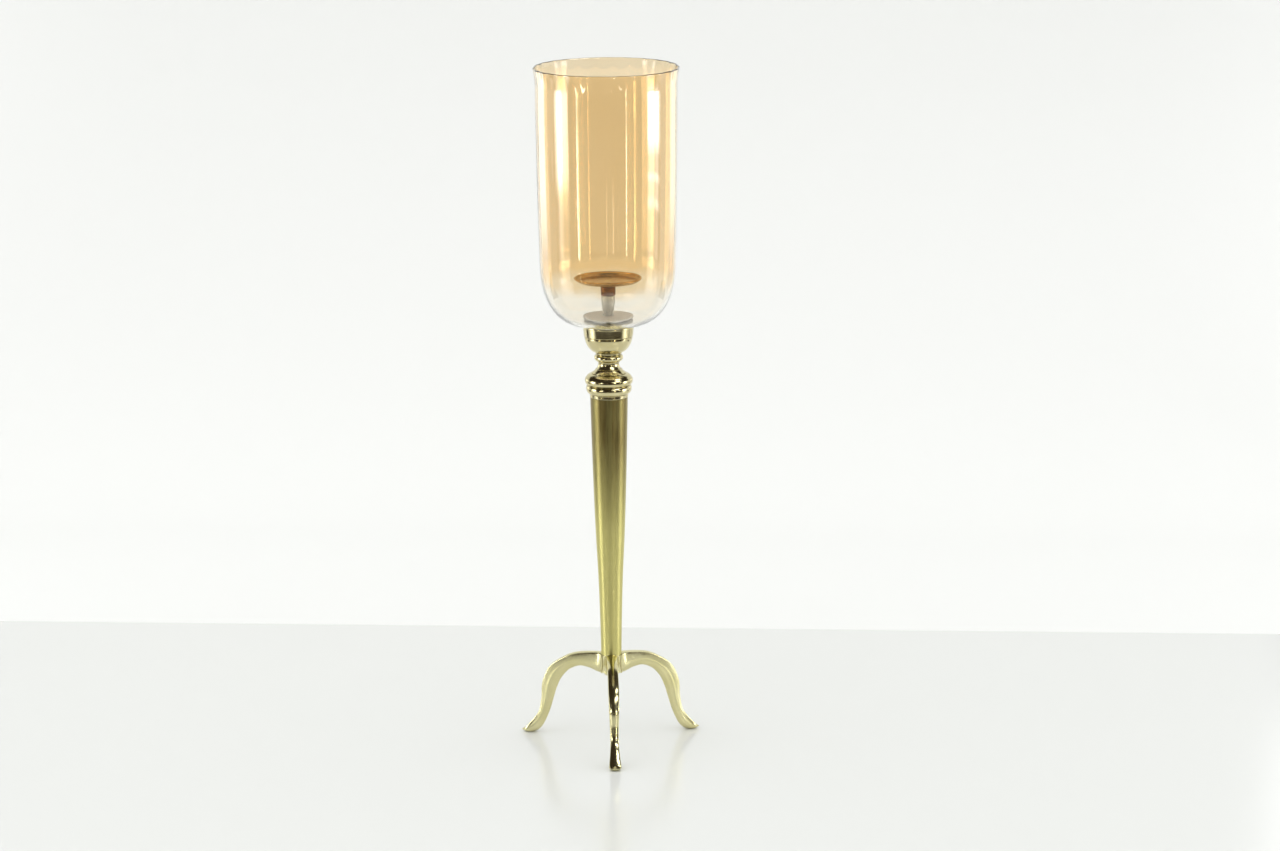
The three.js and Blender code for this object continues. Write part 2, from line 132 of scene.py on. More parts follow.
def smooth(mesh, sharp=38):
    """Smooth shading, with hard edges only where faces meet at more than that angle."""
    work = bmesh.new()
    work.from_mesh(mesh)
    bmesh.ops.recalc_face_normals(work, faces=work.faces)
    for face in work.faces:
        face.smooth = True
    for edge in work.edges:
        if len(edge.link_faces) == 2:
            edge.smooth = edge.calc_face_angle(0) < math.radians(sharp)
    work.to_mesh(mesh)
    work.free()


def on_ring(radius, angle, height):
    """A point round the column's axis: radius in millimetres, height in metres."""
    return (AXIS.x + radius * MM * math.cos(angle), AXIS.y + radius * MM * math.sin(angle), height)


def loop_faces(rings, sides):
    """Faces between rings of vertices, where the last ring joins the first."""
    faces = []
    for k in range(rings):
        a = k * sides
        b = (k + 1) % rings * sides
        for i in range(sides):
            j = (i + 1) % sides
            faces.append((a + i, a + j, b + j, b + i))
    return faces


def rod_faces(rings, sides):
    """Faces between rings of vertices, with a cap on the first and on the last ring."""
    faces = loop_faces(rings, sides)[:-sides]
    faces.append(tuple(reversed(range(sides))))
    faces.append(tuple(range((rings - 1) * sides, rings * sides)))
    return faces


def hollows(outline):
    """How deep each outline point sits in a hollow of the outline: 1 in a tight one, 0 on a flat or a bead.
    The turned pieces' materials paint shade into their colour by it.
    """
    values = []
    count = len(outline)
    for i in range(count):
        here = Vector(outline[i])
        reach = 1.4
        behind = here.copy()
        ahead = here.copy()
        for step in range(1, 7):
            candidate = Vector(outline[i - step])
            if (candidate - here).length <= reach:
                behind = candidate
            candidate = Vector(outline[(i + step) % count])
            if (candidate - here).length <= reach:
                ahead = candidate
        bend = (ahead - here).cross(behind - here)
        size = max((ahead - here).length * (behind - here).length, 1e-6)
        values.append(max(0.0, min(1.0, -bend / size)))
    return values


def turned(name, node, outline, material, segments=144, bottom=None):
    """A turned piece: the closed outline spun about the column's axis, with an attribute of how much shade
    to paint at each point.
    """
    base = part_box(node)[0].z if bottom is None else bottom
    painted_groove_shades = hollows(outline)
    mesh = bpy.data.meshes.new(name)
    vertices = []
    rows = []
    shades = []
    for (radius, height), painted_groove_shade in zip(outline, painted_groove_shades):
        if radius < 1e-6:
            rows.append([len(vertices)] * segments)
            vertices.append((AXIS.x, AXIS.y, base + height * MM))
            shades.append(painted_groove_shade)
            continue
        row = []
        for i in range(segments):
            angle = 2 * math.pi * i / segments
            row.append(len(vertices))
            vertices.append(on_ring(radius, angle, base + height * MM))
            shades.append(painted_groove_shade)
        rows.append(row)
    faces = []
    count = len(rows)
    for k in range(count):
        row = rows[k]
        above = rows[(k + 1) % count]
        if row[0] == row[1] and above[0] == above[1]:
            continue
        for i in range(segments):
            j = (i + 1) % segments
            corners = []
            for vertex in (row[i], row[j], above[j], above[i]):
                if vertex not in corners:
                    corners.append(vertex)
            faces.append(corners)
    mesh.from_pydata(vertices, [], faces)
    # painted shade: how much dark colour is painted in at each point, deepest in the hollows of the outline
    attribute = mesh.attributes.new("painted_groove_shade", "FLOAT", "POINT")
    attribute.data.foreach_set("value", shades)
    smooth(mesh)
    return new_object(name, mesh, material)


def stand_for(piece, node, body):
    """The piece is shown in place of its CAD node, and moves with that node's body."""
    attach(piece, body)
    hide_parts(node)
    return piece


# ---------------------------------------------------------------- materials

class Shader:
    """A new node material with a Principled shader and short calls to add to it."""

    def __init__(self, name):
        self.material = bpy.data.materials.new(name)
        self.material.use_nodes = True
        self.tree = self.material.node_tree
        self.surface = self.tree.nodes["Principled BSDF"]
        self.coordinates = self.add("ShaderNodeTexCoord").outputs["Object"]

    def add(self, kind, **settings):
        node = self.tree.nodes.new(kind)
        for key, value in settings.items():
            setattr(node, key, value)
        return node

    def link(self, source, target):
        self.tree.links.new(source, target)

    def set(self, **values):
        for key, value in values.items():
            self.surface.inputs[key.replace("_", " ")].default_value = value

    def scaled(self, scale):
        """Object coordinates in metres, stretched by scale along each axis."""
        mapping = self.add("ShaderNodeMapping")
        mapping.inputs["Scale"].default_value = scale
        self.link(self.coordinates, mapping.inputs["Vector"])
        return mapping.outputs["Vector"]

    def noise(self, scale, detail=3, roughness=0.55):
        node = self.add("ShaderNodeTexNoise")
        node.inputs["Scale"].default_value = 1
        node.inputs["Detail"].default_value = detail
        node.inputs["Roughness"].default_value = roughness
        self.link(self.scaled(scale), node.inputs["Vector"])
        return node.outputs["Fac"]

    def ramp(self, source, *stops):
        """Colours by position: stops are (position, (r, g, b))."""
        node = self.add("ShaderNodeValToRGB")
        points = node.color_ramp.elements
        while len(points) < len(stops):
            points.new(0.5)
        for point, (position, colour) in zip(points, stops):
            point.position = position
            point.color = (*colour, 1)
        self.link(source, node.inputs["Fac"])
        return node.outputs["Color"]

    def ranged(self, source, low, high, to_low, to_high):
        node = self.add("ShaderNodeMapRange")
        for name, value in zip(("From Min", "From Max", "To Min", "To Max"), (low, high, to_low, to_high)):
            node.inputs[name].default_value = value
        self.link(source, node.inputs["Value"])
        return node.outputs["Result"]

    def mixed(self, factor, first, second):
        """Colour mix: factor, first and second are sockets or plain values."""
        node = self.add("ShaderNodeMix", data_type="RGBA")
        for socket, value in ((0, factor), (6, first), (7, second)):
            if hasattr(value, "is_linked"):
                self.link(value, node.inputs[socket])
            elif isinstance(value, tuple):
                node.inputs[socket].default_value = (*value, 1)
            else:
                node.inputs[socket].default_value = value
        return node.outputs[2]

    def maths(self, operation, first, second=0.0):
        node = self.add("ShaderNodeMath", operation=operation)
        for socket, value in ((0, first), (1, second)):
            if hasattr(value, "is_linked"):
                self.link(value, node.inputs[socket])
            else:
                node.inputs[socket].default_value = value
        return node.outputs[0]

    def attribute(self, name):
        return self.add("ShaderNodeAttribute", attribute_name=name).outputs["Fac"]

    def height(self):
        """Height above the floor at rest, in metres."""
        node = self.add("ShaderNodeSeparateXYZ")
        self.link(self.coordinates, node.inputs[0])
        return node.outputs["Z"]

    def bump(self, height, distance, strength=1.0, below=None):
        node = self.add("ShaderNodeBump")
        node.inputs["Distance"].default_value = distance
        node.inputs["Strength"].default_value = strength
        self.link(height, node.inputs["Height"])
        if below is not None:
            self.link(below, node.inputs["Normal"])
        return node.outputs["Normal"]

    def drive(self, socket, source):
        self.link(source, self.surface.inputs[socket])


def polished_brass():
    """Turned and polished brass: faint lathe lines, dull smudges, and painted shade darkening it in the
    hollows of the outline.
    """
    s = Shader("polished_brass")
    s.set(Metallic=1)
    tone = s.noise((38, 38, 60), detail=4)
    colour = s.ramp(tone, (0.3, (0.61, 0.53, 0.28)), (0.7, (0.70, 0.63, 0.38)))
    # painted shade: the colour darkens towards dark brown in the hollows of the outline
    painted_groove_shade = s.ranged(s.attribute("painted_groove_shade"), 0.1, 0.8, 0, 0.75)
    colour = s.mixed(painted_groove_shade, colour, (0.20, 0.16, 0.07))
    s.drive("Base Color", colour)
    smudge = s.noise((55, 55, 90), detail=5, roughness=0.65)
    s.drive("Roughness", s.ranged(smudge, 0.35, 0.75, 0.13, 0.23))
    lathe = s.noise((6, 6, 3600), detail=2)
    dents = s.noise((140, 140, 140), detail=2)
    normal = s.bump(dents, 0.00012, 0.25)
    s.drive("Normal", s.bump(lathe, 0.000012, 0.35, below=normal))
    return s.material


def brushed_brass():
    """Column brass: brushed lengthwise, darker brown towards the top of the tube and in soft patches."""
    s = Shader("brushed_brass")
    s.set(Metallic=1)
    streak = s.noise((1500, 1500, 9), detail=4, roughness=0.6)
    broad = s.noise((130, 130, 7), detail=3)
    # darker brown from 0.27 m up to 0.39 m above the floor, broken up into soft patches
    dark_share = s.ranged(s.height(), 0.27, 0.39, 0, 1)
    dark_share = s.maths("MULTIPLY", dark_share, s.ranged(broad, 0.25, 0.6, 0.55, 1.0))
    light_tone = s.ramp(streak, (0.25, (0.56, 0.51, 0.175)), (0.75, (0.69, 0.635, 0.265)))
    dark_tone = s.ramp(streak, (0.25, (0.17, 0.125, 0.04)), (0.75, (0.30, 0.24, 0.09)))
    s.drive("Base Color", s.mixed(dark_share, light_tone, dark_tone))
    s.drive("Roughness", s.ranged(streak, 0.3, 0.75, 0.28, 0.42))
    s.drive("Normal", s.bump(streak, 0.00004, 0.45))
    return s.material


def cast_brass():
    """Leg brass: satin, a little wavy from casting, with a highlight painted lighter along the top keel of
    each leg.
    """
    s = Shader("cast_brass")
    s.set(Metallic=1)
    tone = s.noise((26, 26, 26), detail=4)
    colour = s.ramp(tone, (0.3, (0.68, 0.625, 0.33)), (0.7, (0.79, 0.735, 0.44)))
    # painted highlight: a lighter line painted along the top keel of each leg
    ridge_highlight = s.attribute("ridge_highlight")
    painted_highlight = s.ranged(ridge_highlight, 0.55, 1.0, 0, 0.4)
    s.drive("Base Color", s.mixed(painted_highlight, colour, (0.84, 0.78, 0.52)))
    grain = s.noise((420, 420, 420), detail=3)
    s.drive("Roughness", s.ranged(grain, 0.3, 0.7, 0.13, 0.24))
    waves = s.noise((48, 48, 48), detail=2)
    normal = s.bump(waves, 0.0006, 0.30)
    s.drive("Normal", s.bump(grain, 0.00003, 0.35, below=normal))
    return s.material


def brown_brass():
    """Pan and socket brass: golden, browned by heat, with fine rings from spinning."""
    s = Shader("brown_brass")
    s.set(Metallic=1)
    tone = s.noise((60, 60, 90), detail=4)
    colour = s.ramp(tone, (0.3, (0.42, 0.27, 0.12)), (0.7, (0.58, 0.42, 0.21)))
    # painted shade: the colour darkens in the hollows of the outline
    painted_groove_shade = s.ranged(s.attribute("painted_groove_shade"), 0.1, 0.8, 0, 0.6)
    s.drive("Base Color", s.mixed(painted_groove_shade, colour, (0.18, 0.10, 0.04)))
    s.drive("Roughness", s.ranged(tone, 0.3, 0.7, 0.12, 0.24))
    rings = s.noise((8, 8, 2600), detail=2)
    s.drive("Normal", s.bump(rings, 0.00001, 0.35))
    return s.material


def red_brass():
    """Socket brass, turned red-brown by the heat of the candle."""
    s = Shader("red_brass")
    s.set(Metallic=1)
    tone = s.noise((70, 70, 50), detail=4)
    colour = s.ramp(tone, (0.3, (0.12, 0.045, 0.013)), (0.7, (0.20, 0.085, 0.028)))
    # painted shade: the colour darkens in the hollows of the outline
    painted_groove_shade = s.ranged(s.attribute("painted_groove_shade"), 0.1, 0.8, 0, 0.6)
    s.drive("Base Color", s.mixed(painted_groove_shade, colour, (0.10, 0.04, 0.015)))
    s.drive("Roughness", s.ranged(tone, 0.3, 0.7, 0.18, 0.30))
    s.drive("Normal", s.bump(s.noise((8, 8, 2600), detail=2), 0.00001, 0.35))
    return s.material


def bright_steel():
    """Zinc-bright steel of the rod, stud, nuts and washers."""
    s = Shader("bright_steel")
    s.set(Metallic=1)
    tone = s.noise((160, 160, 160), detail=4)
    s.drive("Base Color", s.ramp(tone, (0.3, (0.42, 0.40, 0.34)), (0.7, (0.54, 0.52, 0.45))))
    s.drive("Roughness", s.ranged(tone, 0.3, 0.7, 0.30, 0.42))
    s.drive("Normal", s.bump(s.noise((9, 9, 2400), detail=2), 0.00001, 0.4))
    return s.material


def pale_rubber():
    """Pale grey silicone sheet of the gaskets."""
    s = Shader("pale_rubber")
    s.set(Roughness=0.55, IOR=1.41)
    tone = s.noise((90, 90, 90), detail=3)
    s.drive("Base Color", s.ramp(tone, (0.3, (0.94, 0.90, 0.83)), (0.7, (0.97, 0.94, 0.88))))
    s.drive("Normal", s.bump(s.noise((900, 900, 900), detail=2), 0.00003, 0.5))
    return s.material


def amber_glass():
    """Blown glass with an amber lustre, which fades to clear glass near the bottom."""
    s = Shader("amber_glass")
    s.set(Metallic=0, Roughness=0.0, IOR=1.5)
    s.surface.inputs["Transmission Weight"].default_value = 1
    wander = s.ranged(s.noise((22, 22, 22), detail=2), 0.3, 0.7, -0.004, 0.004)
    level = s.maths("ADD", s.height(), wander)
    coated = s.ranged(level, LUSTRE_EDGE - 0.006, LUSTRE_EDGE + 0.010, 0, 1)
    patch = s.noise((9, 9, 5), detail=3)
    amber = s.ramp(patch, (0.3, (0.92, 0.755, 0.50)), (0.7, (0.94, 0.785, 0.555)))
    s.drive("Base Color", s.mixed(coated, (0.955, 0.93, 0.87), amber))
    wobble = s.noise((16, 16, 7), detail=1)
    s.drive("Normal", s.bump(wobble, 0.0012, 0.35))
    s.surface.inputs["Coat Weight"].default_value = 0.6
    s.surface.inputs["Coat IOR"].default_value = 1.6
    s.surface.inputs["Coat Roughness"].default_value = 0.02
    return s.material


LUSTRE_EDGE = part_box("glass_shade")[0].z + 48 * MM

MATERIALS = {
    "polished_brass": polished_brass(),
    "brushed_brass": brushed_brass(),
    "cast_brass": cast_brass(),
    "brown_brass": brown_brass(),
    "red_brass": red_brass(),
    "bright_steel": bright_steel(),
    "pale_rubber": pale_rubber(),
    "amber_glass": amber_glass(),
}


# ---------------------------------------------------------------- turned pieces

def size_of(node):
    """(outer radius, height) of a turned CAD node, in millimetres."""
    lo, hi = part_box(node)
    return (hi.x - lo.x) / 2 / MM, (hi.z - lo.z) / MM


ROD_HOLE = 3.3


def column_tube():
    top_radius, length = size_of("column_tube")
    bottom_radius, wall = 12.6, 1.2
    swell = top_radius - bottom_radius
    late, early = 0.51 * length, 0.227 * length
    outer = [
        (bottom_radius, 0), (bottom_radius + 0.29 * swell, late),
        (bottom_radius + 0.44 * swell, early), (top_radius, length),
    ]
    inner = [(r - wall, z) for r, z in reversed(outer)]
    outline = bezier(*outer, 60) + [outer[3]] + bezier(*inner, 30) + [inner[3]]
    return turned("column_tube_skin", "column_tube", eased(outline), MATERIALS["brushed_brass"], 192)


def collar():
    height = 29.6
    spigot = size_of("collar")[1] - height
    outline = [(ROD_HOLE, height - 12), (18.5, height - 12), (18.5, -spigot), (20.6, -spigot)]
    outline += [(21.2, 0), (23.2, 0), (23.6, 0.5), (23.55, 3.9), (23.7, 4.6)]
    outline += bezier((24.6, 5.1), (28.5, 6.0), (28.9, 14.2), (26.4, 15.2))
    outline += [(26.1, 15.5), (26.1, 16.0)]
    outline += bezier((26.5, 16.2), (30.3, 17.2), (30.0, 23.6), (28.4, 24.6))
    outline += bezier((28.1, 24.9), (27.2, 27.0), (25.2, 28.6), (22.4, height - 0.1))
    outline += [(22.2, height), (ROD_HOLE, height)]
    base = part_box("collar")[0].z + spigot * MM
    return turned("collar_skin", "collar", eased(outline), MATERIALS["polished_brass"], bottom=base)


def neck_spool():
    height = size_of("neck_spool")[1]
    outline = [(ROD_HOLE, 0), (20.8, 0), (20.8, 0.8)]
    outline += bezier((20.2, 1.2), (18.4, 2.2), (17.1, 3.4), (16.6, 4.9))
    outline += [(16.4, 5.3), (15.0, 5.6), (14.7, 6.2)]
    outline += bezier((14.5, 6.7), (13.2, 9.0), (12.7, 11.0), (12.9, 12.8))
    outline += [(13.0, 13.6), (14.0, 14.0), (14.1, 14.9)]
    outline += bezier((14.6, 15.4), (18.7, 16.0), (18.7, 22.4), (15.6, 22.9))
    outline += [(15.3, 23.3), (15.4, 24.2), (16.3, 24.8), (16.5, height), (ROD_HOLE, height)]
    return turned("neck_spool_skin", "neck_spool", eased(outline), MATERIALS["polished_brass"])


def seat_cup():
    rim, height = size_of("seat_cup")
    band = 20
    outline = [(ROD_HOLE, 0), (16.6, 0)]
    outline += bezier((16.9, 0.1), (23.5, 2.0), (28.8, 10.6), (29.75, band - 0.2), 18)
    outline += [(29.5, band), (29.5, band + 0.4), (30.2, band + 0.7), (rim - 0.1, height - 1.6)]
    outline += [(rim, height - 1.4), (rim, height), (rim - 3, height), (27.6, band)]
    outline += bezier((27.6, band), (26.6, 12), (22, 5.8), (15, 4.2), 14)
    outline += [(ROD_HOLE, 4.2)]
    return turned("seat_cup_skin", "seat_cup", eased(outline), MATERIALS["polished_brass"], 176)


def stem_tube():
    radius, length = size_of("stem_tube")
    outline = [(ROD_HOLE, 0), (6.9, 0), (7.2, 2.5), (radius, 10), (radius, length), (ROD_HOLE, length)]
    return turned("stem_tube_skin", "stem_tube", eased(outline, 0.4), MATERIALS["bright_steel"], 96)


def pan_socket():
    radius, length = size_of("pan_socket")
    screw = 2.3
    outline = [(ROD_HOLE, 0), (radius - 0.5, 0), (radius, 0.6), (radius, 2.2), (radius - 0.3, 2.5)]
    outline += [(radius - 0.3, 2.9), (radius, 3.2), (radius, length), (screw + 1.2, length)]
    outline += [(screw, length - 1.2), (screw, length - 7), (ROD_HOLE, length - 7)]
    return turned("pan_socket_skin", "pan_socket", eased(outline), MATERIALS["red_brass"], 96)


def candle_pan():
    radius = 41.8
    height = size_of("candle_pan")[1]
    bead, plate = 1.4, 1.3
    centre = (radius - bead, height - bead)
    outline = [(3.5, 0), (34, 0)]
    outline += bezier((34.2, 0), (37.2, 0.1), (38.7, 1.4), (centre[0] - 0.4, centre[1] - bead), 10)
    outline += arc(centre, bead, -90, 162, 18)
    outline += bezier((39.0, centre[1] - 0.4), (37.9, 2.6), (36.4, plate), (33.6, plate), 10)
    outline += [(33.4, plate), (4.85, plate)]
    return turned("candle_pan_skin", "candle_pan", eased(outline), MATERIALS["brown_brass"], 160)


def pan_screw():
    head, height = size_of("pan_screw")
    shank = 2.0
    outline = [(0, 0), (shank - 0.3, 0), (shank, 0.4), (shank, height - 2.7), (head, height - 0.3)]
    outline += [(head - 0.15, height), (0, height)]
    return turned("pan_screw_skin", "pan_screw", eased(outline), MATERIALS["polished_brass"], 64)


def washer(node, hole, material):
    radius, height = size_of(node)
    outline = [(hole, 0), (radius, 0), (radius, height), (hole, height)]
    return turned(node + "_skin", node, eased(outline), MATERIALS[material], 96)


def threaded_rod(node, pitch=1.0, depth=0.35):
    """A rod with a helical V thread: rings of points whose radius runs up and down with the turn."""
    radius, length = size_of(node)
    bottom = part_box(node)[0].z
    segments, per_pitch = 32, 8
    rows = int(length / pitch * per_pitch)
    vertices = []
    for k in range(rows + 1):
        z = length * k / rows
        for i in range(segments):
            turn = (z / pitch - i / segments) % 1
            inset = depth * (1 - abs(2 * turn - 1))
            taper = max(0.0, 0.6 - min(z, length - z))
            angle = 2 * math.pi * i / segments
            vertices.append(on_ring(radius - inset - taper, angle, bottom + z * MM))
    mesh = bpy.data.meshes.new(node + "_skin")
    mesh.from_pydata(vertices, [], rod_faces(rows + 1, segments))
    smooth(mesh, 50)
    return new_object(node + "_skin", mesh, MATERIALS["bright_steel"])


def hex_nut(node):
    """A hexagon nut whose corners are turned down at both ends."""
    lo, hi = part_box(node)
    height = (hi.z - lo.z) / MM
    across = (hi.y - lo.y) / MM
    corner = across / math.sqrt(3)
    segments = 96
    bevel = [(0, 0.93), (0.35, 0.97), (0.75, 1.0)]
    levels = bevel + [(height - z, share) for z, share in reversed(bevel)]
    vertices = []
    for z, share in levels:
        for i in range(segments):
            angle = 2 * math.pi * i / segments
            within = (angle + math.pi / 6) % (math.pi / 3) - math.pi / 6
            flat = (across / 2) / math.cos(math.pi / 6 - abs(within))
            vertices.append(on_ring(min(flat, corner * share), angle, lo.z + z * MM))
    for z, r in ((height, ROD_HOLE + 0.4), (height - 0.4, ROD_HOLE), (0.4, ROD_HOLE), (0, ROD_HOLE + 0.4)):
        for i in range(segments):
            angle = 2 * math.pi * i / segments
            vertices.append(on_ring(r, angle, lo.z + z * MM))
    mesh = bpy.data.meshes.new(node + "_skin")
    mesh.from_pydata(vertices, [], loop_faces(len(vertices) // segments, segments))
    smooth(mesh, 20)
    return new_object(node + "_skin", mesh, MATERIALS["bright_steel"])


# ---------------------------------------------------------------- glass

RIBS = 24
RIB_DEPTH = 0.2
LIP_RIB_DEPTH = 0.55


def shade_outline():
    """Outer and inner outline of the glass from its hole to its lip, in millimetres."""
    rim, height = size_of("glass_shade")
    floor, side, shoulder = 33, 83, 76
    lip = height - 22
    wall, base = 1.9, 3.2
    outer = [(6.5, 0.4), (6.9, 0)]
    outer += bezier((floor, 0), (floor + 31, 0), (side, 30), (side, shoulder), 30)
    outer += bezier((side, shoulder), (side + 1.5, 130), (side + 3.2, 210), (side + 3.4, lip), 30)
    outer += bezier(
        (side + 3.4, lip), (side + 3.7, lip + 8), (rim - 1.2, height - 6), (rim - 0.1, height - 1.0), 12,
    )
    outer += [(rim - 0.05, height - 0.6), (rim - 0.4, height - 0.15)]
    inner = [(rim - 0.8, height), (rim - 1.3, height - 0.1), (rim - 1.7, height - 0.7)]
    inner += bezier(
        (rim - 1.9, height - 1.6), (rim - 2.9, height - 7),
        (side + 3.9 - wall, lip + 8), (side + 3.4 - wall, lip), 12,
    )
    inner += bezier(
        (side + 3.4 - wall, lip), (side + 3.2 - wall, 210),
        (side + 1.5 - wall, 130), (side - wall, shoulder), 30,
    )
    inner += bezier((side - wall, shoulder), (side - wall, 32), (floor + 29, base), (floor, base), 30)
    inner += [(floor, base), (6.9, base), (6.5, base - 0.4)]
    return outer, inner


def rib_depth(height, full):
    """Ribs fade in above the rounded bottom and grow a little at the lip."""
    rise = min(1.0, max(0.0, (height - 12) / 70))
    lip = min(1.0, max(0.0, (height - full + 26) / 22))
    return RIB_DEPTH * rise * rise * (3 - 2 * rise) + (LIP_RIB_DEPTH - RIB_DEPTH) * lip ** 2


def glass_shade():
    """Optic-ribbed glass: the wall keeps its thickness and swells in and out a little."""
    outer, inner = shade_outline()
    full = size_of("glass_shade")[1]
    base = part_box("glass_shade")[0].z
    segments = RIBS * 14
    random.seed(7)
    uneven = [random.uniform(0.75, 1.25) for _ in range(RIBS)]
    vertices = []
    for skin, share_of_depth in ((outer, 1.0), (inner, 0.85)):
        for radius, z in skin:
            depth = share_of_depth * rib_depth(z, full)
            for i in range(segments):
                angle = 2 * math.pi * i / segments
                rib = RIBS * angle / (2 * math.pi)
                share = uneven[int(rib) % RIBS] * (rib % 1) + uneven[int(rib) - 1] * (1 - rib % 1)
                wave = math.cos(2 * math.pi * rib) * share
                r = radius
                if radius > 34:
                    r += depth * (wave - 0.6)
                vertices.append(on_ring(r, angle, base + z * MM))
    mesh = bpy.data.meshes.new("glass_shade_skin")
    mesh.from_pydata(vertices, [], loop_faces(len(outer) + len(inner), segments))
    smooth(mesh, 60)
    return new_object("glass_shade_skin", mesh, MATERIALS["amber_glass"])


# ---------------------------------------------------------------- tripod

FOOT_REACH = 125.5
LEG_ANGLES = {"leg_front": -90, "leg_right": 30, "leg_left": 150}

# Middle line (reach, height), half depth and half width of a leg, from the hub out to the toe.
LEG_STATIONS = [
    (6, 102, 14.2, 11), (16, 102.5, 13.4, 7.4), (30, 103.8, 10.8, 6.8), (47, 102.6, 9, 6.9),
    (63.6, 95.5, 9, 6.9), (79, 82.5, 10.5, 6.9), (87.4, 65.6, 10, 6.5), (91.5, 45.8, 7.6, 5.6),
    (97.2, 26.6, 6.4, 5.4), (107.8, 10.5, 7.4, 6.6), (118.2, 3.5, 5.2, 7.6), (FOOT_REACH, 2.6, 0.9, 6),
]


def catmull(rows, t):
    """Smooth curve through the rows, centripetal, at t from 0 to 1."""
    spans = len(rows) - 1
    place = min(t * spans, spans - 1e-9)
    k = int(place)
    u = place - k
    p1, p2 = rows[k], rows[k + 1]
    p0 = rows[k - 1] if k > 0 else tuple(2 * a - b for a, b in zip(p1, p2))
    p3 = rows[k + 2] if k + 2 <= spans else tuple(2 * b - a for a, b in zip(p1, p2))

    def gap(a, b):
        return max(math.dist(a, b) ** 0.5, 1e-4)

    d0, d1, d2 = gap(p0, p1), gap(p1, p2), gap(p2, p3)
    values = []
    for a, b, c, d in zip(p0, p1, p2, p3):
        m1 = (b - a) / d0 - (c - a) / (d0 + d1) + (c - b) / d1
        m2 = (c - b) / d1 - (d - b) / (d1 + d2) + (d - c) / d2
        m1, m2 = m1 * d1, m2 * d1
        values.append(
            (2 * u ** 3 - 3 * u ** 2 + 1) * b + (u ** 3 - 2 * u ** 2 + u) * m1
            + (-2 * u ** 3 + 3 * u ** 2) * c + (u ** 3 - u ** 2) * m2
        )
    return values


FACE_FALL = 0.21


def leg_section(depth, width):
    """Closed outline of (across, up): a domed face, tight corners, full flanks and a round belly."""
    drop = min(FACE_FALL * width, 0.5 * depth)
    side = [Vector((0.86 * width * k / 9, depth - drop * (k / 9) ** 2)) for k in range(10)]
    flank = depth - drop - 0.9
    corner = Vector((0.925 * width, depth - drop - 0.12))
    end = Vector((0.93 * width, flank))
    for t in (0.25, 0.5, 0.75, 1):
        side.append(side[9].lerp(corner, t).lerp(corner.lerp(end, t), t))
    for k in range(1, 7):
        t = k / 6
        side.append(Vector((width * (1 - 0.07 * (1 - t) ** 2), flank * (1 - t))))
    for k in range(1, 10):
        angle = math.radians(10 * k)
        side.append(Vector((width * math.cos(angle) ** 0.9, -depth * math.sin(angle))))
    other = [Vector((-point.x, point.y)) for point in side[1:]]
    return side + [Vector((0, -depth))] + list(reversed(other))


def leg(node):
    """A cast leg: the domed section swept down the S, cut round the hub and flat on the floor."""
    lines = [(x, z) for x, z, _, _ in LEG_STATIONS]
    sizes = [(d, w) for _, _, d, w in LEG_STATIONS]
    steps = 150
    direction = math.radians(LEG_ANGLES[node])
    along = Vector((math.cos(direction), math.sin(direction), 0))
    across = Vector((-math.sin(direction), math.cos(direction), 0))
    hub = 12.95
    vertices = []
    ridge_highlights = []
    for k in range(steps + 1):
        t = k / steps
        x, z = catmull(lines, t)
        ahead = catmull(lines, min(1, t + 0.002))
        behind = catmull(lines, max(0, t - 0.002))
        tangent = Vector((ahead[0] - behind[0], ahead[1] - behind[1])).normalized()
        depth, width = catmull(sizes, t)
        for side, up in leg_section(depth, width):
            reach = x - up * tangent.y
            height = max(0.0, z + up * tangent.x)
            if k == 0:
                reach = 0
            if math.hypot(reach, side) < hub or k == 0:
                reach = math.sqrt(max(hub * hub - side * side, 0))
            vertices.append(AXIS + (along * reach + across * side) * MM + Vector((0, 0, height * MM)))
            # painted highlight: marks the top middle of each section, where the lighter line is painted
            ridge_highlights.append(max(0, 1 - abs(side) / 1.2) if up > 0 else 0)
    sides = len(vertices) // (steps + 1)
    mesh = bpy.data.meshes.new(node + "_skin")
    mesh.from_pydata([tuple(v) for v in vertices], [], rod_faces(steps + 1, sides))
    attribute = mesh.attributes.new("ridge_highlight", "FLOAT", "POINT")
    attribute.data.foreach_set("value", ridge_highlights)
    smooth(mesh, 60)
    return new_object(node + "_skin", mesh, MATERIALS["cast_brass"])


# ---------------------------------------------------------------- the lantern

